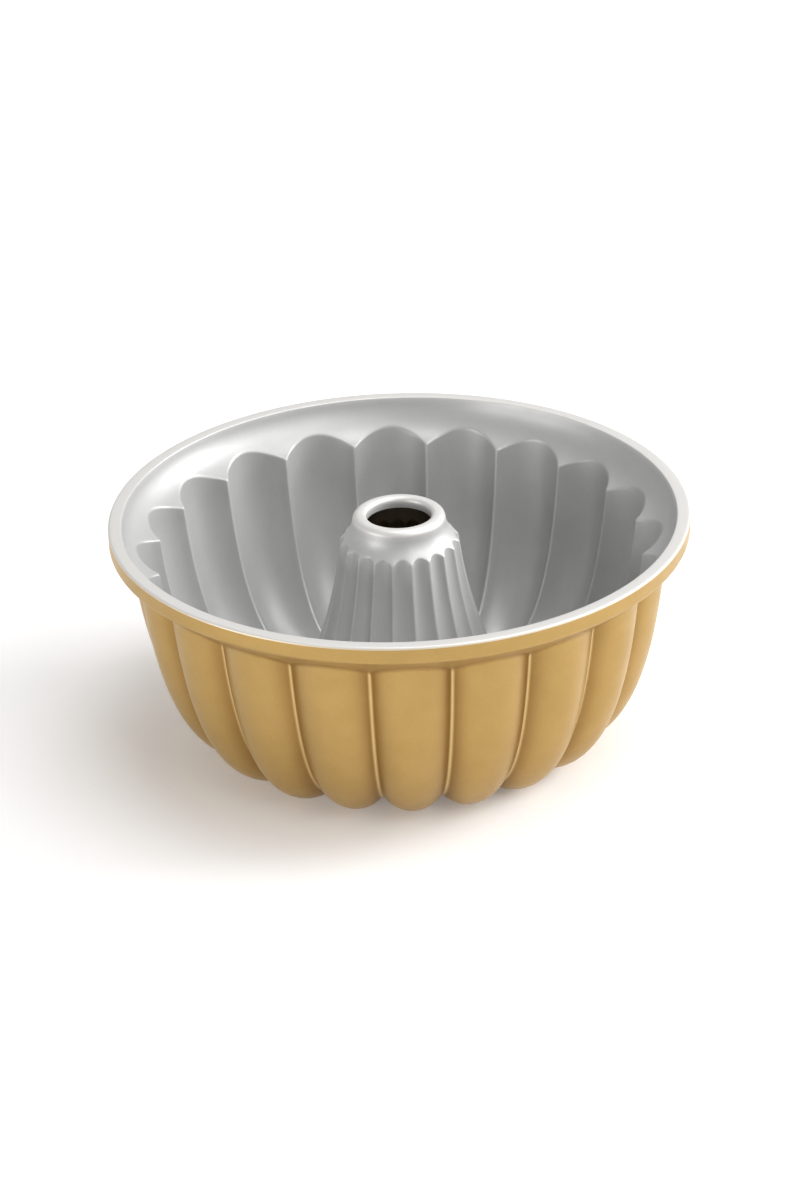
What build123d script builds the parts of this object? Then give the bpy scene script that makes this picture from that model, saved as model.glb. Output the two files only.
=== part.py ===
"""A cast fluted tube cake pan: a bare casting, a release lining on the cake side and a gold enamel outside.

Millimetres. +Z up, with the origin on the axis, in the plane that the pan stands on.
The pan is twenty equal sectors, each one flute: down the wall, round the bottom and up the tube.
The first flute's middle lies on -Y.
"""

import math
import os

from build123d import *

# Overall
FLUTES = 20
HEIGHT = 100.0  # to the top of the rim
RIM_RADIUS = 120.0
WALL = 3.0  # lining, metal and enamel together, at the middle of a flute
COAT = 0.3  # lining and enamel, each

# Outside middle line of a flute, as (radius, height) Bezier points: the wall, then the tube's hollow side.
# Its lowest point is below zero, because the lands that the pan stands on are ground flat at zero.
WALL_TOP = (111.6, 85.6)
WALL_PULL = (107.1, 43.0)
TURN_PULL = (98.0, -0.35)
LOWEST = (62.8, -0.35)
HOLLOW_PULL = (40.0, -0.35)
TUBE_PULL = (24.6, 43.0)
TUBE_TOP = (20.1, 88.0)

# Flute sections, given at the wall's top, at the lowest point and at the tube's top
INSIDE_DEPTH = (0.62, 0.70, 0.50)  # depth over half width
OUTSIDE_DEPTH = (0.52, 0.62, 0.25)
RIDGE_RADIUS = (1.1, 1.0, 0.8)  # rounding of the ridges between flutes, inside
GROOVE_RADIUS = (1.8, 1.8, 3.0)  # rounding of the grooves between flutes, outside

# Rim: a flat lip, then a cove down to the tops of the flutes
LIP_EDGE_RADIUS = 1.0
LIP_INNER_RADIUS = 114.6
LIP_SIDE = 5.0  # height of the lip's straight outer side
LIP_UNDER_RADIUS = 2.0
COVE_RADIUS = 18.6
COVE_STEEPEST = 83.0  # degrees, where the cove meets the lip
COVE_FLATTEST = 5.0  # degrees, past the ridges
UNDER_SLOPE = 37.5  # degrees, underside of the shoulder
UNDER_END = 100.0  # radius, past the grooves

# Tube top: a bead round the hole, level with the rim, then a collar that flares down to the tube's flutes
HOLE_RADIUS = 13.5
HOLE_LAND = 4.8  # height of the hole's wall, with its rounded edge
HOLE_EDGE_RADIUS = 2.0
BEAD_FLAT_END = 16.4
BEAD_EDGE_RADIUS = 2.9
COLLAR_RADIUS = 13.0
COLLAR_STEEPEST = 85.0  # degrees, where the collar meets the bead
COLLAR_FLATTEST = 40.0  # degrees, at the tube's ridges
COLLAR_LENGTH = 4.0  # straight on, past the ridges
HOLLOW_START = 16.5  # radius where the collar's hollow side starts
HOLLOW_SLOPE = 66.0  # degrees
HOLLOW_END = 22.5  # radius, past the tube's grooves

# Worked out
SECTOR = 360.0 / FLUTES
HALF_TAN = math.tan(math.radians(SECTOR / 2))
HOLE_BOTTOM = HEIGHT - HOLE_LAND
LINING_END = HEIGHT - LIP_EDGE_RADIUS  # on the lip's side, where the enamel starts

# Reach of the shapes that are cut and joined
CAP = HEIGHT + 12.0
FLOOR = -12.0
STEPS = 12  # between sections along the wall, and along the tube
TOUCHING = 1e-6  # gap that counts as none
OUT, UP, IN, FULL = 90, 180, 270, 360  # degrees in a section through the axis, from straight down


def polar(centre, radius, degrees):
    """The point at a radius and an angle from a centre, both as (radius, height)."""
    turn = math.radians(degrees)
    return (centre[0] + radius * math.sin(turn), centre[1] - radius * math.cos(turn))


def arc(centre, radius, start, end):
    """An arc between two such angles."""
    points = [polar(centre, radius, turn) for turn in (start, (start + end) / 2, end)]
    return ThreePointArc(*[(r, 0, z) for r, z in points])


def spin(*outline):
    """A solid of revolution. Its outline is arcs and (radius, height) points, joined by straight lines."""
    pieces = [Vector(item[0], 0, item[1]) if isinstance(item, tuple) else item for item in outline]
    starts = [piece if isinstance(piece, Vector) else piece @ 0 for piece in pieces]
    ends = [piece if isinstance(piece, Vector) else piece @ 1 for piece in pieces]
    edges = [piece for piece in pieces if not isinstance(piece, Vector)]
    gaps = zip(ends, starts[1:] + starts[:1])
    edges += [Line(end, start) for end, start in gaps if (end - start).length > TOUCHING]
    return Solid.revolve(Face(Wire(edges)), 360, Axis.Z)


def eased(values, share):
    """A value along the flute: share is 0 at the wall's top, 1 at the lowest point and 2 at the tube's top."""
    start, end, part = (values[0], values[1], share) if share < 1 else (values[1], values[2], share - 1)
    return start + (end - start) * part * part * (3 - 2 * part)


def stations():
    """(share, point, outward direction) along the outside middle line, run on straight to the cap at both ends."""
    wall = Bezier(*[(r, 0, z) for r, z in (WALL_TOP, WALL_PULL, TURN_PULL, LOWEST)])
    hollow = Bezier(*[(r, 0, z) for r, z in (LOWEST, HOLLOW_PULL, TUBE_PULL, TUBE_TOP)])
    found = []
    for start, curve in ((0, wall), (1, hollow)):
        for i in range(start, STEPS + 1):
            part = i / STEPS
            found.append((start + part, curve @ part, (curve % part).rotate(Axis.Y, -90)))

    def run_on(curve, part, level):
        along = curve % part
        rise = along * ((CAP - (curve @ part).Z) / along.Z)
        halfway = (2 * part, curve @ part + rise / 2, along.rotate(Axis.Y, -90))
        return [halfway, (2 * part, curve @ part + rise, level)]

    return run_on(wall, 0, Vector(1, 0, 0))[::-1] + found + run_on(hollow, 1, Vector(-1, 0, 0))


def section(middle, out, depth_ratio, rounding, offset):
    """One flute's section from ridge to ridge, as an open wire of three arcs.

    middle is the channel's deepest point, out points away from the cake, and offset widens the channel evenly.
    """
    a = middle.X * HALF_TAN
    b = out.X * HALF_TAN  # the sector's side is where y is a + b * s, with s measured along out
    depth = depth_ratio * a / (1 + depth_ratio * b)
    radius = ((a - b * depth) ** 2 + depth * depth) / (2 * depth)
    # The rounding's centre is on the sector's side, and its circle touches the channel's.
    reach = radius + rounding
    p = 1 + b * b
    q = a * b + radius
    r = a * a + radius * radius - reach * reach
    s = (-q + math.sqrt(q * q - p * r)) / p
    y = a + b * s
    channel = radius + offset
    fillet = rounding - offset
    touching = math.atan2(y, s + radius)  # seen from the channel's centre
    side = math.atan(b)  # lean of the sector's side

    def at(y, s):
        return middle + Vector(out.X * s, y, out.Z * s)

    def on_channel(turn):
        return at(channel * math.sin(turn), channel * math.cos(turn) - radius)

    def on_rounding(turn):
        return at(y - fillet * math.sin(turn), s - fillet * math.cos(turn))

    def mirror(point):
        return Vector(point.X, -point.Y, point.Z)

    touch = on_channel(touching)
    between = on_rounding((touching + side) / 2)
    tip = on_rounding(side)
    return Wire(
        [
            ThreePointArc(mirror(tip), mirror(between), mirror(touch)),
            ThreePointArc(mirror(touch), on_channel(0), touch),
            ThreePointArc(touch, between, tip),
        ]
    )


def fluted_space(depths, roundings, inset, offset):
    """All that lies above a fluted skin, up to the cap. inset is measured from the outside middle line."""
    wires = [
        section(point - out * inset, out, eased(depths, share), eased(roundings, share), offset)
        for share, point, out in stations()
    ]
    skin = Shell.make_loft(wires)
    turns = [i * SECTOR - 90 for i in range(FLUTES)]
    faces = [face for turn in turns for face in skin.rotate(Axis.Z, turn).faces()]
    rim, hole = [
        Wire([edge for turn in turns for edge in wire.rotate(Axis.Z, turn).edges()])
        for wire in (wires[0], wires[-1])
    ]
    return Solid(Shell(faces + [Face(rim, [hole])]))


def metal_and_below(depth):
    """All that lies under the cake side, at a depth below the lining's face, down to the floor."""
    hole_edge = (HOLE_RADIUS + HOLE_EDGE_RADIUS, HEIGHT - HOLE_EDGE_RADIUS)
    bead_edge = (BEAD_FLAT_END, HEIGHT - BEAD_EDGE_RADIUS)
    collar = polar(bead_edge, BEAD_EDGE_RADIUS + COLLAR_RADIUS, UP - COLLAR_STEEPEST)
    collar_end = polar(collar, COLLAR_RADIUS + depth, FULL - COLLAR_FLATTEST)
    lip_edge = (RIM_RADIUS - LIP_EDGE_RADIUS, LINING_END)
    cove = polar((LIP_INNER_RADIUS, HEIGHT), COVE_RADIUS, COVE_STEEPEST + 180)
    cove_steepest = math.degrees(math.acos((cove[1] - HEIGHT + depth) / (COVE_RADIUS + depth)))
    stock = spin(
        (HOLE_RADIUS + depth, HOLE_BOTTOM + COAT),
        arc(hole_edge, HOLE_EDGE_RADIUS - depth, IN, UP),
        arc(bead_edge, BEAD_EDGE_RADIUS - depth, UP, UP - COLLAR_STEEPEST),
        arc(collar, COLLAR_RADIUS + depth, FULL - COLLAR_STEEPEST, FULL - COLLAR_FLATTEST),
        polar(collar_end, COLLAR_LENGTH, OUT - COLLAR_FLATTEST),
        arc(cove, COVE_RADIUS + depth, COVE_FLATTEST, cove_steepest),
        arc(lip_edge, LIP_EDGE_RADIUS - depth, UP, OUT),
        (RIM_RADIUS - COAT, LINING_END),
        (RIM_RADIUS - COAT, FLOOR),
        (HOLE_RADIUS + COAT, FLOOR),
        (HOLE_RADIUS + COAT, HOLE_BOTTOM + COAT),
    )
    return stock - fluted_space(INSIDE_DEPTH, RIDGE_RADIUS, WALL, depth)


def metal_and_above(depth):
    """All that the outside and the tube's hollow enclose, at a depth below the enamel's face, up to the cap."""
    under_edge = (RIM_RADIUS - LIP_UNDER_RADIUS, LINING_END - LIP_SIDE)
    under = polar(under_edge, LIP_UNDER_RADIUS - depth, UNDER_SLOPE)
    shoulder = spin(
        (RIM_RADIUS - depth, CAP),
        arc(under_edge, LIP_UNDER_RADIUS - depth, OUT, UNDER_SLOPE),
        (UNDER_END, under[1] - (under[0] - UNDER_END) * math.tan(math.radians(UNDER_SLOPE))),
        (UNDER_END, CAP),
    )
    land = HOLE_BOTTOM + depth
    hollow_start = HOLLOW_START + depth * math.tan(math.radians(HOLLOW_SLOPE / 2))
    collar = spin(
        (HOLE_RADIUS, CAP),
        (HOLE_RADIUS, land),
        (hollow_start, land),
        (HOLLOW_END, land - (HOLLOW_END - hollow_start) * math.tan(math.radians(HOLLOW_SLOPE))),
        (HOLLOW_END, CAP),
    )
    return fluted_space(OUTSIDE_DEPTH, GROOVE_RADIUS, 0, -depth) + shoulder + collar


def slab(low, high):
    """A slab of space between two heights, wider than the pan."""
    return extrude(Plane.XY.offset(low) * Circle(2 * RIM_RADIUS), high - low)


def main():
    below = metal_and_below(COAT)
    above = metal_and_above(COAT)
    parts = {
        "casting": (below & above) & slab(0, CAP),
        "nonstick_lining": metal_and_below(0) - below,
        "gold_enamel": (metal_and_above(0) - above) & slab(0, LINING_END),
    }
    os.makedirs("parts", exist_ok=True)
    for name, part in parts.items():
        export_step(part, f"parts/{name}.step")


main()
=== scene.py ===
"""Looks of the fluted tube pan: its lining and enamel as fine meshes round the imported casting."""

import math

import bmesh
import bpy
import numpy as np
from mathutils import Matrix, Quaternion, Vector


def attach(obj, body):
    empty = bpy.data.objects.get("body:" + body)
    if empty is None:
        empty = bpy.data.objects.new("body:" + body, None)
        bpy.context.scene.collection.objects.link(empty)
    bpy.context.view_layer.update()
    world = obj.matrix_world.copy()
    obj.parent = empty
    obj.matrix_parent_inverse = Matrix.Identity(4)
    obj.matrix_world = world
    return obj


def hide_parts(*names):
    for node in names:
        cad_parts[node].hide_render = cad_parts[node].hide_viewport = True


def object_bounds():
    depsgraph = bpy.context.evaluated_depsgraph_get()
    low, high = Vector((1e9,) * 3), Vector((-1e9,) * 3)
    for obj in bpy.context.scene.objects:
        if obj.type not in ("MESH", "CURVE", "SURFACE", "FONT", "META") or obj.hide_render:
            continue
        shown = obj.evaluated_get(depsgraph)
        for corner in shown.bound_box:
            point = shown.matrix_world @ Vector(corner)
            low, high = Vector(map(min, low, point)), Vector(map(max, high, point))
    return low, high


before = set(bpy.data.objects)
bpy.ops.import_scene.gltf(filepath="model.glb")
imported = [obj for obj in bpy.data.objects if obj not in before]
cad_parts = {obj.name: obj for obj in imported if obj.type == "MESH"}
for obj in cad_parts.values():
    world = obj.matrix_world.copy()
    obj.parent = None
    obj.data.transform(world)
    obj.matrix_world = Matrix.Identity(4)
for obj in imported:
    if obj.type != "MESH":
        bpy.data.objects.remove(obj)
cad_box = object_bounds()

# The pan's dimensions, in millimetres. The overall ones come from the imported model.
MM = 0.001
HEIGHT = cad_box[1][2] / MM
RIM_RADIUS = cad_box[1][0] / MM
FLUTES = 20
WALL = 3.0
COAT = 0.3

# Outside middle line of a flute, as (radius, height) Bezier points: the wall, then the tube's
# hollow side
WALL_LINE = ((111.6, 85.6), (107.1, 43.0), (98.0, -0.35), (62.8, -0.35))
HOLLOW_LINE = ((62.8, -0.35), (40.0, -0.35), (24.6, 43.0), (20.1, 88.0))

# Flute sections at the wall's top, at the lowest point and at the tube's top
INSIDE_DEPTH = (0.62, 0.70, 0.50)
OUTSIDE_DEPTH = (0.52, 0.62, 0.25)
RIDGE_RADIUS = (1.1, 1.0, 0.8)
GROOVE_RADIUS = (1.8, 1.8, 3.0)

# Rim
LIP_EDGE_RADIUS = 1.0
LIP_INNER_RADIUS = 114.6
LIP_INNER_ROUND = 0.5
LIP_SIDE = 5.0
LIP_UNDER_RADIUS = 2.0
COVE_RADIUS = 18.6
COVE_STEEPEST = 83.0
UNDER_SLOPE = 37.5
LINING_END = HEIGHT - LIP_EDGE_RADIUS

# Tube top: a bead round the hole, and a collar that flares down to the tube's flutes
HOLE_RADIUS = 13.5
HOLE_BOTTOM = HEIGHT - 4.8
HOLE_EDGE_RADIUS = 2.0
BEAD_FLAT_END = 16.4
BEAD_EDGE_RADIUS = 2.9
COLLAR_RADIUS = 13.0
COLLAR_STEEPEST = 85.0
COLLAR_FLATTEST = 40.0
HOLLOW_START = 16.5
HOLLOW_SLOPE = 66.0

# How finely the coats are meshed
CHANNEL_SPANS = 16  # across a flute
ROUND_SPANS = 4  # across half a ridge or groove
FLUTE_ROWS = 96  # along a flute
CROWDING = 0.3  # of those rows, towards the lowest point
CORNER_ROWS = 5
COVE_ROWS = 12
UNDER_ROWS = 7
COLLAR_ROWS = 6
HIDDEN_STEP = 3  # the hidden face has one row in so many
LIP_EDGE_ROWS = 6
LIP_TOP_ROWS = 4
LIP_INNER_ROWS = 5
BEAD_ROWS = 9
HOLE_EDGE_ROWS = 8
HOLE_WALL_ROWS = 3
UNDER_EDGE_ROWS = 6
LIP_SIDE_ROWS = 4
HOLLOW_TOP_ROWS = 3
# The enamel's lands are this much above the casting's, which show bare in their middle
LAND_LEVEL = 0.01
LOWEST_HIDDEN = 0.03
LAND_TOLERANCE = 1e-8  # in metres
SHARP_FROM = math.radians(40)

# The shares between which a flute meets the surfaces above it, and how closely that is found
RIM_SEARCH = (-0.14, 0.4)
TUBE_SEARCH = (1.6, 2.14)
HALVINGS = 40
PACE_STEP = 1e-4
ARC_LIMIT = 0.999  # of an arc's radius

# Where a coat's colour changes, painted highlights, shade and light among it: across a flute,
# or in millimetres of radius or height
# Painted shade on the enamel's groove walls is centred at this share across a flute, with this
# width
FLANK_MIDDLE, FLANK_WIDTH = 1.1, 0.3
# Painted highlight: the lining's ridge tips are lightened across these shares
RIDGE_HIGHLIGHT = (1.3, 1.9)
# Painted highlight: the bright line along each enamel groove's bottom spans these shares
GROOVE_HIGHLIGHT = (1.55, 1.95)
LIP_FADE = (LIP_INNER_RADIUS - 0.6, LIP_INNER_RADIUS + 0.6)
BEAD_FADE, BEAD_FADE_HEIGHT = (20.2, 19.0), (96.5, 98.0)
EDGE_FADE = (RIM_RADIUS - 0.35, RIM_RADIUS - 0.02)
# Painted light: the lining is lightened on the tube, fading in over these radii
TUBE_LIGHT_FADE = (52.0, 34.0)
# Painted shade deep in the tube's hollow fades in over these radii and heights
HOLLOW_SHADE_FADE, HOLLOW_SHADE_FADE_HEIGHT = (45.0, 30.0), (25.0, 70.0)

# Camera, in degrees and metres, seen from the middle of the rim's plane
CAMERA_AROUND = 1.59
CAMERA_HEIGHT = 25.97
CAMERA_DISTANCE = 1.667
CAMERA_BELOW = 1.247
CAMERA_ASIDE = 0.021
CAMERA_ROLL = -1.75
CAMERA_LENS = 121.2
CAMERA_SENSOR = 36

FLOOR_SIZE = 12.0
FLOOR_GAP = 0.0002


def bezier(points, part):
    """Position and direction of travel on a cubic Bezier, each as (radius, height)."""
    a, b, c, d = (np.array(point) for point in points)
    t = part[..., None]
    place = a * (1 - t) ** 3 + 3 * b * (1 - t) ** 2 * t + 3 * c * (1 - t) * t**2 + d * t**3
    along = (b - a) * (1 - t) ** 2 + 2 * (c - b) * (1 - t) * t + (d - c) * t**2
    return place, along / np.linalg.norm(along, axis=-1, keepdims=True)


def eased(values, share):
    """A value that changes smoothly along the flute, through the three given at share 0, 1, 2."""
    part = np.clip(np.where(share < 1, share, share - 1), 0, 1)
    part = part * part * (3 - 2 * part)
    start = np.where(share < 1, values[0], values[1])
    end = np.where(share < 1, values[1], values[2])
    return start + (end - start) * part


def middle_line(share):
    """Outside middle line and its outward direction, straight below share 0 and above 2."""
    inner = np.clip(share, 0, 2)
    wall, wall_way = bezier(WALL_LINE, np.minimum(inner, 1))
    hollow, hollow_way = bezier(HOLLOW_LINE, np.maximum(inner - 1, 0))
    on_wall = (inner < 1)[..., None]
    way = np.where(on_wall, wall_way, hollow_way)
    run_on = (share - inner)[..., None] * HEIGHT
    place = np.where(on_wall, wall, hollow) + way * run_on
    return place, np.stack([-way[..., 1], way[..., 0]], -1)


class Skin:
    """One fluted surface, inset from the outside middle line. widen grows the channel evenly."""

    def __init__(self, depths, rounds, inset, widen):
        self.depths, self.rounds, self.inset, self.widen = depths, rounds, inset, widen

    def point(self, share, across):
        """x outward, y across and z up, in a flute's own sector.

        across is -1 to 1 over the channel, and up to 1 more each way over the rounding beside it.
        """
        place, out = middle_line(share)
        middle = place - out * self.inset
        half = math.tan(math.pi / FLUTES)
        a, b = middle[..., 0] * half, out[..., 0] * half
        ratio, rounding = eased(self.depths, share), eased(self.rounds, share)
        depth = ratio * a / (1 + ratio * b)
        radius = ((a - b * depth) ** 2 + depth**2) / (2 * depth)
        p, q = 1 + b**2, a * b + radius
        r = a**2 + radius**2 - (radius + rounding) ** 2
        centre_s = (-q + np.sqrt(q**2 - p * r)) / p
        centre_y = a + b * centre_s
        touching, side = np.arctan2(centre_y, centre_s + radius), np.arctan(b)
        beyond = np.clip(np.abs(across) - 1, 0, 1)
        turn = touching * np.clip(np.abs(across), 0, 1)
        channel, fillet = radius + self.widen, rounding - self.widen
        bend = touching + (side - touching) * beyond
        on_channel = beyond == 0
        y = np.where(on_channel, channel * np.sin(turn), centre_y - fillet * np.sin(bend))
        s = np.where(on_channel, channel * np.cos(turn) - radius, centre_s - fillet * np.cos(bend))
        x, z = middle[..., 0] + out[..., 0] * s, middle[..., 1] + out[..., 1] * s
        return np.stack([x, y * np.sign(across), z], -1)

    def meet(self, height_at, low, high, across):
        """The share, from low to high, where each line meets a surface of revolution."""
        low, high = np.full(across.shape, low), np.full(across.shape, high)

        def above(share):
            point = self.point(share, across)
            return point[..., 2] > height_at(np.hypot(point[..., 0], point[..., 1]))

        starts_above = above(low)
        for _ in range(HALVINGS):
            centre = (low + high) / 2
            same = above(centre) == starts_above
            low, high = np.where(same, centre, low), np.where(same, high, centre)
        return (low + high) / 2


def smooth(value, start, end):
    """0 up to start and 1 from end on, with a smooth rise between. start may be the larger."""
    part = np.clip((value - start) / (end - start), 0, 1)
    return part * part * (3 - 2 * part)


def polar(centre, radius, degrees):
    """(radius, height) at an angle from straight down, turning outward, round a centre."""
    turn = np.radians(degrees)
    return np.stack([centre[0] + radius * np.sin(turn), centre[1] - radius * np.cos(turn)], -1)


def swept(points, azimuths):
    """(radius, height) rows swept to each line's azimuth. A row has one point, or one a line."""
    points = np.asarray(points, float)
    if points.ndim == 2:
        points = points[:, None, :]
    r, z = points[..., 0], points[..., 1]
    return np.stack([r * np.cos(azimuths), r * np.sin(azimuths), z + 0 * azimuths], -1)


def flat(points):
    """(radius, height) of points in space."""
    return np.stack([np.hypot(points[..., 0], points[..., 1]), points[..., 2]], -1)


def between(start, end, count):
    """Evenly spaced rows from start to end, with both."""
    part = np.linspace(0, 1, count)[:, None, None]
    return np.asarray(start) * (1 - part) + np.asarray(end) * part


def rounded(before, corner, after, count):
    """Rows round a corner, with both ends."""
    part = np.linspace(0, 1, count)[:, None, None]
    return before * (1 - part) ** 2 + 2 * corner * (1 - part) * part + after * part**2


def flute_lines():
    """The across value of each line over one flute, from one ridge up to the next."""
    channel = np.linspace(-1, 1, CHANNEL_SPANS + 1)
    rounding = np.linspace(1, 2, ROUND_SPANS + 1)[1:]
    return np.concatenate([-rounding[::-1], channel, rounding[:-1]])


class Face:
    """A whole face of a coat, as rows of points over one flute, from the rim to the tube's hole.

    A kind of face gives its skin, the surfaces of revolution above the flutes, and its rows on
    them. rows() also keeps how far each row is on the flutes, and in the crease where they meet
    the rim, from 0 to 1; the enamel gets painted shade in that crease.
    """

    def __init__(self, depth):
        self.depth = depth

    def rows(self):
        across = flute_lines()
        first = self.skin.meet(self.rim_height, *RIM_SEARCH, across)
        last = self.skin.meet(self.tube_height, *TUBE_SEARCH, across)
        rim_corner, tube_corner = self.skin.point(first, across), self.skin.point(last, across)
        start = first + self.rim_softness / self.pace(first, across)
        end = last - self.tube_softness / self.pace(last, across)
        part = np.linspace(0, 1, FLUTE_ROWS)
        part = part + CROWDING * np.sin(2 * math.pi * part) / (2 * math.pi)
        share = start + (end - start) * part[:, None]
        flute = self.skin.point(share, np.broadcast_to(across, share.shape))
        rim = self.rim_rows(rim_corner)
        tube = self.tube_rows(tube_corner)
        fade = np.linspace(0, 1, CORNER_ROWS)
        above, below = np.zeros(len(rim) - 1), np.zeros(len(tube))
        ones = np.ones(FLUTE_ROWS)
        self.fluted = np.concatenate([above, fade[:-1], ones, fade[-2:0:-1], below])
        # Painted shade: how far each row is in the crease under the rim, where the enamel is
        # darkened
        self.fold_shade = np.zeros(len(self.fluted))
        self.fold_shade[len(above) : len(above) + CORNER_ROWS] = 4 * fade * (1 - fade)
        return np.concatenate([
            rim[:-1],
            rounded(rim[-1], rim_corner, flute[0], CORNER_ROWS)[:-1],
            flute,
            rounded(flute[-1], tube_corner, tube[0], CORNER_ROWS)[1:-1],
            tube,
        ])

    def pace(self, share, across):
        """Millimetres along each line for a unit of share."""
        ahead = self.skin.point(share + PACE_STEP, across)
        behind = self.skin.point(share - PACE_STEP, across)
        return np.linalg.norm(ahead - behind, axis=-1) / (2 * PACE_STEP)


class CakeSide(Face):
    rim_softness, tube_softness = 1.0, 0.7
    crest_highlight = RIDGE_HIGHLIGHT

    def __init__(self, depth):
        super().__init__(depth)
        self.skin = Skin(INSIDE_DEPTH, RIDGE_RADIUS, WALL, depth)
        self.top = HEIGHT - depth
        self.cove_radius = COVE_RADIUS + depth
        self.cove = polar((LIP_INNER_RADIUS, HEIGHT), COVE_RADIUS, 180 + COVE_STEEPEST)
        self.bead_edge = (BEAD_FLAT_END, HEIGHT - BEAD_EDGE_RADIUS)
        reach = BEAD_EDGE_RADIUS + COLLAR_RADIUS
        self.collar = polar(self.bead_edge, reach, 180 - COLLAR_STEEPEST)
        self.collar_radius = COLLAR_RADIUS + depth
        self.collar_end = polar(self.collar, self.collar_radius, 360 - COLLAR_FLATTEST)

    @staticmethod
    def zones(radius, height):
        """Paler lining on the lip and bead, bronze at the lip's edge; painted light on the tube."""
        bead = smooth(radius, *BEAD_FADE) * smooth(height, *BEAD_FADE_HEIGHT)
        lip_and_bead_pale = smooth(radius, *LIP_FADE) + bead
        edge, tube = smooth(radius, *EDGE_FADE), smooth(radius, *TUBE_LIGHT_FADE)
        return {"lip_and_bead_pale": lip_and_bead_pale, "edge": edge, "tube": tube}

    def rim_height(self, radius):
        inward = np.clip(radius - self.cove[0], 0, ARC_LIMIT * self.cove_radius)
        return self.cove[1] - np.sqrt(self.cove_radius**2 - inward**2)

    def tube_height(self, radius):
        inward = np.clip(self.collar[0] - radius, 0, ARC_LIMIT * self.collar_radius)
        on_arc = self.collar[1] - np.sqrt(self.collar_radius**2 - inward**2)
        past = (radius - self.collar_end[0]) * math.tan(math.radians(COLLAR_FLATTEST))
        return np.where(radius < self.collar_end[0], on_arc, self.collar_end[1] - past)

    def collar_point(self, steepness):
        """The collar's (radius, height) where its slope is so many degrees."""
        return polar(self.collar, self.collar_radius, 360 - steepness)

    def rim_rows(self, corner):
        line = azimuth(corner)
        lip_edge = (RIM_RADIUS - LIP_EDGE_RADIUS, LINING_END)
        steepest = math.degrees(math.acos((self.cove[1] - self.top) / self.cove_radius))
        inner_edge = polar(self.cove, self.cove_radius, steepest)
        softening = math.degrees(LIP_INNER_ROUND / COVE_RADIUS)
        round_lip = np.linspace(90, 180, LIP_EDGE_ROWS)
        lip = polar(lip_edge, LIP_EDGE_RADIUS - self.depth, round_lip)
        flat_end = inner_edge + (LIP_INNER_ROUND, 0)
        cove_start = polar(self.cove, self.cove_radius, steepest - softening)
        inner = rounded(flat_end, inner_edge, cove_start, LIP_INNER_ROWS)[:, 0]
        meets = np.degrees(np.arcsin((flat(corner)[:, 0] - self.cove[0]) / self.cove_radius))
        stops = meets + math.degrees(self.rim_softness / COVE_RADIUS)
        down = np.linspace(0, 1, COVE_ROWS)[:, None]
        turn = (steepest - softening) * (1 - down) + stops * down
        cove = polar(self.cove, self.cove_radius, turn)
        lip_top = between(lip[-1], flat_end, LIP_TOP_ROWS)[1:-1, 0]
        return np.concatenate([swept(part, line) for part in (lip, lip_top, inner, cove[1:])])

    def tube_rows(self, corner):
        line = azimuth(corner)
        meets = np.degrees(np.arcsin((self.collar[0] - flat(corner)[:, 0]) / self.collar_radius))
        softening = math.degrees(self.tube_softness / COLLAR_RADIUS)
        starts = np.maximum(meets, COLLAR_FLATTEST) + softening
        up = np.linspace(0, 1, COLLAR_ROWS)[:, None]
        collar = self.collar_point(starts * (1 - up) + COLLAR_STEEPEST * up)
        over = np.linspace(180 - COLLAR_STEEPEST, 180, BEAD_ROWS)[1:]
        bead = polar(self.bead_edge, BEAD_EDGE_RADIUS - self.depth, over)
        hole_edge = (HOLE_RADIUS + HOLE_EDGE_RADIUS, HEIGHT - HOLE_EDGE_RADIUS)
        round_edge = np.linspace(180, 270, HOLE_EDGE_ROWS)
        edge = polar(hole_edge, HOLE_EDGE_RADIUS - self.depth, round_edge)
        foot = (edge[-1][0], HOLE_BOTTOM + COAT)
        wall = between(edge[-1], foot, HOLE_WALL_ROWS)[1:, 0]
        return np.concatenate([swept(part, line) for part in (collar, bead, edge, wall)])


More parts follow.
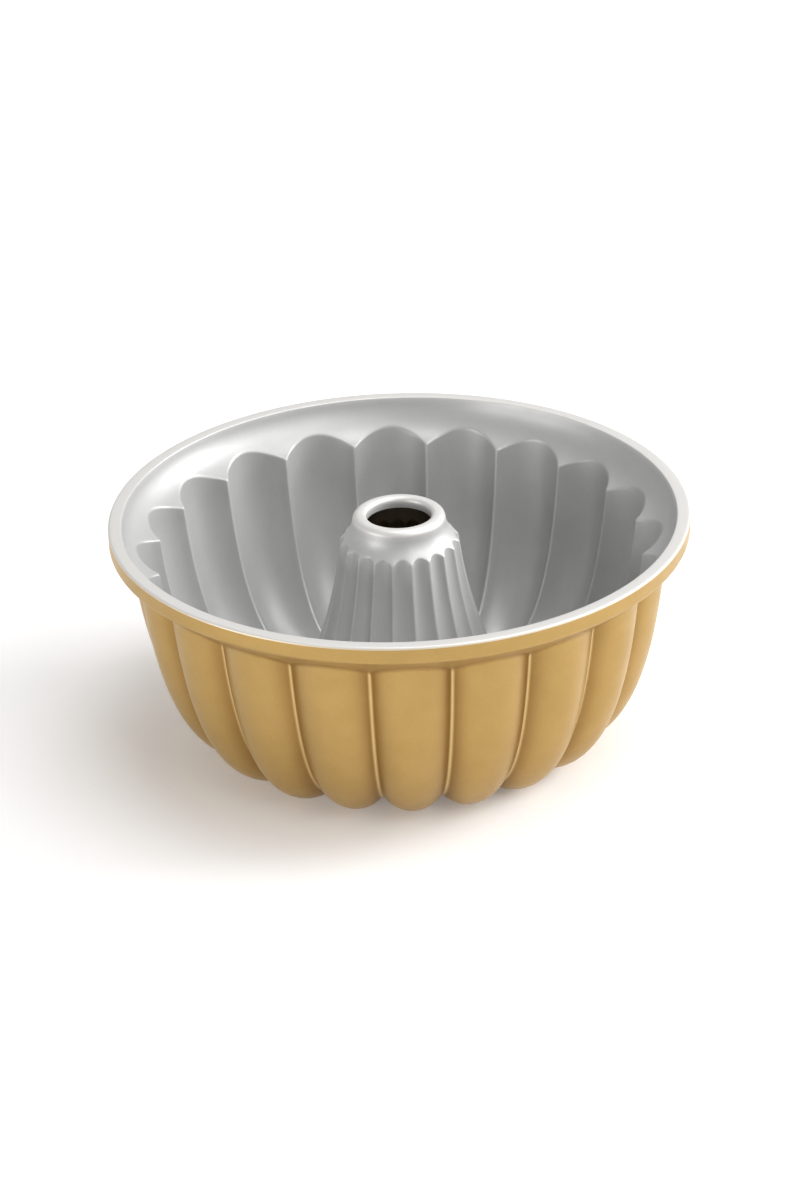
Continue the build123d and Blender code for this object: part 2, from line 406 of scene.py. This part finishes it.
class Outside(Face):
    rim_softness, tube_softness = 1.6, 0.8
    crest_highlight = GROOVE_HIGHLIGHT

    def __init__(self, depth):
        super().__init__(depth)
        self.skin = Skin(OUTSIDE_DEPTH, GROOVE_RADIUS, 0, -depth)
        self.under_edge = (RIM_RADIUS - LIP_UNDER_RADIUS, LINING_END - LIP_SIDE)
        self.under = polar(self.under_edge, LIP_UNDER_RADIUS - depth, UNDER_SLOPE)
        self.land = HOLE_BOTTOM + depth
        self.hollow_start = HOLLOW_START + depth * math.tan(math.radians(HOLLOW_SLOPE / 2))

    @staticmethod
    def zones(radius, height):
        """The enamel is darkened deep in the tube's hollow, as painted shade."""
        return {"hollow": smooth(radius, *HOLLOW_SHADE_FADE) * smooth(height, *HOLLOW_SHADE_FADE_HEIGHT)}

    def rim_height(self, radius):
        return self.under[1] - (self.under[0] - radius) * math.tan(math.radians(UNDER_SLOPE))

    def tube_height(self, radius):
        return self.land - (radius - self.hollow_start) * math.tan(math.radians(HOLLOW_SLOPE))

    def rim_rows(self, corner):
        line = azimuth(corner)
        round_under = np.linspace(90, UNDER_SLOPE, UNDER_EDGE_ROWS)
        bend = polar(self.under_edge, LIP_UNDER_RADIUS - self.depth, round_under)
        side = between((bend[0][0], LINING_END), bend[0], LIP_SIDE_ROWS)[:-1, 0]
        slope = math.radians(UNDER_SLOPE)
        end = flat(corner) + self.rim_softness * np.array([math.cos(slope), math.sin(slope)])
        under = between(self.under, end, UNDER_ROWS)[1:]
        return np.concatenate([swept(part, line) for part in (side, bend, under)])

    def tube_rows(self, corner):
        line = azimuth(corner)
        slope = math.radians(HOLLOW_SLOPE)
        way = np.array([-math.cos(slope), math.sin(slope)])
        start = flat(corner) + self.tube_softness * way
        collar = between(start, (self.hollow_start, self.land), COLLAR_ROWS)
        edge = (HOLE_RADIUS, self.land)
        land = between((self.hollow_start, self.land), edge, HOLLOW_TOP_ROWS)[1:, 0]
        return np.concatenate([swept(part, line) for part in (collar, land)])


def azimuth(points):
    return np.arctan2(points[..., 1], points[..., 0])


def all_round(rows):
    """One flute's rows repeated round the axis. The first flute's middle lies on -Y."""
    turns = np.arange(FLUTES) * 2 * math.pi / FLUTES - math.pi / 2
    x, y, z = rows[:, None, :, 0], rows[:, None, :, 1], rows[:, None, :, 2]
    cos, sin = np.cos(turns)[None, :, None], np.sin(turns)[None, :, None]
    points = np.stack([x * cos - y * sin, x * sin + y * cos, z + 0 * cos], -1)
    return points.reshape(len(rows), -1, 3)


def coat(name, kind):
    """A closed shell: the face that is seen, one against the metal with fewer rows, and both edges.

    The mesh also holds how far each point is in each zone whose colour differs, from 0 to 1.
    Some of these zones carry painted highlights, painted shade and painted light.
    """
    face = kind(0)
    seen = all_round(face.rows())
    hidden = all_round(kind(COAT).rows())
    hidden[..., 2] = np.maximum(hidden[..., 2], LOWEST_HIDDEN)
    keep = sorted({*range(0, len(hidden), HIDDEN_STEP), len(hidden) - 1})
    points = np.concatenate([seen, hidden[keep][::-1]])
    count, lines = points.shape[:2]
    row = np.arange(count)[:, None]
    column = np.arange(lines)[None, :]
    next_row, next_column = (row + 1) % count, (column + 1) % lines
    corners = [row * lines + column, next_row * lines + column]
    corners += [next_row * lines + next_column, row * lines + next_column]
    quads = np.stack(corners, -1).reshape(-1, 4)
    mesh = bpy.data.meshes.new(name)
    mesh.from_pydata((points.reshape(-1, 3) * MM).tolist(), [], quads.tolist())
    across = np.tile(np.abs(flute_lines()), count * FLUTES)
    both = [np.concatenate([part, part[keep][::-1]]) for part in (face.fluted, face.fold_shade)]
    fluted, fold_shade = (np.repeat(part, lines) for part in both)
    # How near each point is to a groove's wall, where the enamel is darkened with painted shade
    flank_shade = np.exp(-(((across - FLANK_MIDDLE) / FLANK_WIDTH) ** 2))
    # Zones of painted highlight along crests, painted shade on groove walls and in the crease under
    # the rim
    zones = {"crest_highlight": fluted * smooth(across, *kind.crest_highlight), "flank_shade": fluted * flank_shade, "fold_shade": fold_shade}
    zones.update(kind.zones(*flat(points).reshape(-1, 2).T))
    for zone, values in zones.items():
        attribute = mesh.attributes.new(zone, "FLOAT", "POINT")
        attribute.data.foreach_set("value", values.astype(np.float32))
    return mesh


def cut_lands(mesh):
    """Grinds the enamel flat at the flute bottoms, just above the standing plane."""
    work = bmesh.new()
    work.from_mesh(mesh)
    everything = work.verts[:] + work.edges[:] + work.faces[:]
    ground = {"plane_co": (0, 0, LAND_LEVEL * MM), "plane_no": (0, 0, 1)}
    bmesh.ops.bisect_plane(
        work, geom=everything, dist=LAND_TOLERANCE, clear_inner=True, **ground
    )
    open_edges = [edge for edge in work.edges if edge.is_boundary]
    bmesh.ops.triangle_fill(work, edges=open_edges, use_beauty=True, normal=(0, 0, -1))
    work.to_mesh(mesh)
    work.free()


def finished(mesh, node, material):
    """Shades a coat smooth, with its edges crisp, and puts it in its CAD node's place."""
    work = bmesh.new()
    work.from_mesh(mesh)
    bmesh.ops.recalc_face_normals(work, faces=work.faces)
    for face in work.faces:
        face.smooth = True
    for edge in work.edges:
        edge.smooth = edge.calc_face_angle(0) < SHARP_FROM
    work.to_mesh(mesh)
    work.free()
    mesh.materials.append(material)
    piece = bpy.data.objects.new(mesh.name, mesh)
    bpy.context.scene.collection.objects.link(piece)
    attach(piece, "root")
    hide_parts(node)


class Shader:
    """A Principled material whose fine variation comes from noise in the object's own space."""

    def __init__(self, name, color, values):
        self.material = bpy.data.materials.new(name)
        self.material.use_nodes = True
        self.nodes, self.links = self.material.node_tree.nodes, self.material.node_tree.links
        self.surface = self.nodes["Principled BSDF"]
        self.surface.inputs["Base Color"].default_value = (*color, 1)
        for socket, value in values.items():
            self.surface.inputs[socket].default_value = value
        self.place = self.nodes.new("ShaderNodeTexCoord").outputs["Object"]
        self.color = None
        self.base = color

    def noise(self, size, detail=2.0, roughness=0.5):
        """Noise whose grains are about size metres across."""
        texture = self.nodes.new("ShaderNodeTexNoise")
        texture.inputs["Scale"].default_value = 1 / size
        texture.inputs["Detail"].default_value = detail
        texture.inputs["Roughness"].default_value = roughness
        self.links.new(self.place, texture.inputs["Vector"])
        return texture.outputs["Fac"]

    def ranged(self, value, low, high, start=0.3, end=0.7):
        """The value's stretch from start to end, mapped from low to high."""
        node = self.nodes.new("ShaderNodeMapRange")
        ends = {"From Min": start, "From Max": end, "To Min": low, "To Max": high}
        for socket, number in ends.items():
            node.inputs[socket].default_value = number
        self.links.new(value, node.inputs["Value"])
        return node.outputs["Result"]

    def tinted(self, amount, color):
        """Mixes a colour over what is there so far."""
        mix = self.nodes.new("ShaderNodeMix")
        mix.data_type = "RGBA"
        mix.inputs["A"].default_value = (*self.base, 1)
        mix.inputs["B"].default_value = (*color, 1)
        self.links.new(amount, mix.inputs["Factor"])
        if self.color:
            self.links.new(self.color, mix.inputs["A"])
        self.color = mix.outputs["Result"]
        self.links.new(self.color, self.surface.inputs["Base Color"])

    def zoned(self, name, amount, color):
        """Mixes a colour over a zone that the mesh has values for."""
        source = self.nodes.new("ShaderNodeAttribute")
        source.attribute_name = name
        self.tinted(self.ranged(source.outputs["Fac"], 0.0, amount, 0.0, 1.0), color)

    def rough(self, value):
        self.links.new(value, self.surface.inputs["Roughness"])

    def bumped(self, value, distance, before=None):
        bump = self.nodes.new("ShaderNodeBump")
        bump.inputs["Distance"].default_value = distance
        self.links.new(value, bump.inputs["Height"])
        if before:
            self.links.new(before, bump.inputs["Normal"])
        self.links.new(bump.outputs["Normal"], self.surface.inputs["Normal"])
        return bump.outputs["Normal"]


def gold_enamel():
    gloss = {"Metallic": 0.7, "Coat Weight": 0.12, "Coat Roughness": 0.3}
    paint = Shader("gold_enamel_paint", (0.445, 0.284, 0.087), gloss)
    flakes = paint.noise(0.0005, 3.0, 0.7)
    clouds = paint.noise(0.012, 4.0)
    paint.tinted(paint.ranged(clouds, 0.0, 0.45), (0.395, 0.243, 0.069))
    paint.tinted(paint.ranged(flakes, 0.0, 0.4, 0.55, 0.8), (0.62, 0.45, 0.22))
    # Painted shade: bronze darkening on the groove walls and in the crease under the rim
    painted_shade_bronze = (0.24, 0.11, 0.015)
    paint.zoned("flank_shade", 0.65, painted_shade_bronze)
    # Painted shadow in the crease where the flutes meet the rim's underside
    paint.zoned("fold_shade", 0.5, painted_shade_bronze)
    # Painted highlight: a bright line along the bottom of each groove
    paint.zoned("crest_highlight", 0.6, (0.80, 0.60, 0.30))
    # Painted shade: the enamel nearly black deep inside the tube
    paint.zoned("hollow", 0.97, (0.04, 0.03, 0.015))
    paint.rough(paint.ranged(clouds, 0.36, 0.44))
    orange_peel = paint.bumped(paint.noise(0.0025, 2.0), 0.00003)
    paint.bumped(flakes, 0.00002, orange_peel)
    return paint.material


def release_lining():
    gloss = {"Metallic": 0.35, "Coat Weight": 0.1, "Coat Roughness": 0.35}
    film = Shader("release_lining_film", (0.50, 0.50, 0.495), gloss)
    grains = film.noise(0.0005, 3.0, 0.7)
    clouds = film.noise(0.015, 4.0)
    film.tinted(film.ranged(clouds, 0.0, 0.5), (0.44, 0.44, 0.44))
    film.tinted(film.ranged(grains, 0.0, 0.5, 0.55, 0.8), (0.66, 0.66, 0.66))
    # Painted highlight along the ridges between the lining's flutes
    film.zoned("crest_highlight", 0.35, (0.70, 0.70, 0.69))
    # Painted light: the tube's lining lightened
    film.zoned("tube", 0.3, (0.75, 0.75, 0.74))
    # The lip and the bead are tinted paler
    film.zoned("lip_and_bead_pale", 0.68, (0.82, 0.80, 0.765))
    film.zoned("edge", 0.6, (0.60, 0.47, 0.27))
    film.rough(film.ranged(clouds, 0.42, 0.50))
    film.bumped(grains, 0.00002)
    return film.material


def ground_metal():
    metal = Shader("ground_aluminium", (0.78, 0.78, 0.79), {"Metallic": 1.0})
    scratches = metal.noise(0.0004, 4.0, 0.8)
    metal.rough(metal.ranged(scratches, 0.28, 0.5))
    metal.bumped(scratches, 0.00001)
    return metal.material


def pale_floor():
    work = bmesh.new()
    bmesh.ops.create_grid(work, x_segments=1, y_segments=1, size=FLOOR_SIZE / 2)
    mesh = bpy.data.meshes.new("floor")
    work.to_mesh(mesh)
    work.free()
    # The floor glows faintly: painted light that lifts its shadow and lights the pan from below
    glow = {"Roughness": 0.9, "Emission Color": (1, 1, 1, 1), "Emission Strength": 0.16}
    paper = Shader("floor_paper_glowing", (0.90, 0.90, 0.91), glow)
    paper.bumped(paper.noise(0.002), 0.00001)
    mesh.materials.append(paper.material)
    floor = bpy.data.objects.new("floor", mesh)
    floor.location.z = -FLOOR_GAP
    bpy.context.scene.collection.objects.link(floor)


def softbox(name, place, size, watts, target=(0, 0, 0.05)):
    light = bpy.data.lights.new(name, "AREA")
    light.shape = "RECTANGLE"
    light.size, light.size_y = size
    light.energy = watts
    box = bpy.data.objects.new(name, light)
    box.location = place
    box.rotation_mode = "QUATERNION"
    box.rotation_quaternion = (Vector(target) - Vector(place)).to_track_quat("-Z", "Y")
    bpy.context.scene.collection.objects.link(box)


def studio():
    world = bpy.data.worlds.new("studio")
    world.use_nodes = True
    background = world.node_tree.nodes["Background"]
    background.inputs["Color"].default_value = (1, 1, 1, 1)
    background.inputs["Strength"].default_value = 0.28
    bpy.context.scene.world = world
    softbox("key", (1.2, -1.0, 1.4), (1.8, 1.2), 17.5)
    softbox("side", (1.7, 0.3, 0.8), (0.9, 0.9), 29)
    softbox("fill", (-1.7, -1.1, 0.3), (1.2, 0.5), 18)
    softbox("top", (0.3, 0.1, 1.9), (1.3, 1.2), 16)
    softbox("wash", (0.0, 1.7, 1.4), (3.0, 0.6), 25, (0.0, 2.4, 0.0))
    bpy.context.scene.view_settings.view_transform = "Standard"


def camera():
    rim_centre = Vector((0, 0, cad_box[1][2]))
    around, height = math.radians(CAMERA_AROUND), math.radians(CAMERA_HEIGHT)
    level_back = Vector((-math.sin(around), -math.cos(around), 0)) * math.cos(height)
    back = level_back + Vector((0, 0, math.sin(height)))
    data = bpy.data.cameras.new("camera")
    data.lens = CAMERA_LENS
    data.sensor_width = CAMERA_SENSOR
    view = bpy.data.objects.new("camera", data)
    view.location = rim_centre + back * CAMERA_DISTANCE
    view.rotation_mode = "QUATERNION"
    level = (-back).to_track_quat("-Z", "Y")
    lowered = Quaternion((1, 0, 0), -math.radians(CAMERA_BELOW))
    turned = Quaternion((0, 1, 0), math.radians(CAMERA_ASIDE))
    rolled = Quaternion((0, 0, 1), math.radians(CAMERA_ROLL))
    view.rotation_quaternion = level @ turned @ lowered @ rolled
    bpy.context.scene.collection.objects.link(view)
    bpy.context.scene.camera = view


lining = coat("release_lining", CakeSide)
finished(lining, "nonstick_lining", release_lining())
enamel = coat("outer_enamel", Outside)
cut_lands(enamel)
finished(enamel, "gold_enamel", gold_enamel())
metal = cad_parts["casting"]
metal.data.materials.clear()
metal.data.materials.append(ground_metal())
pale_floor()
studio()
camera()
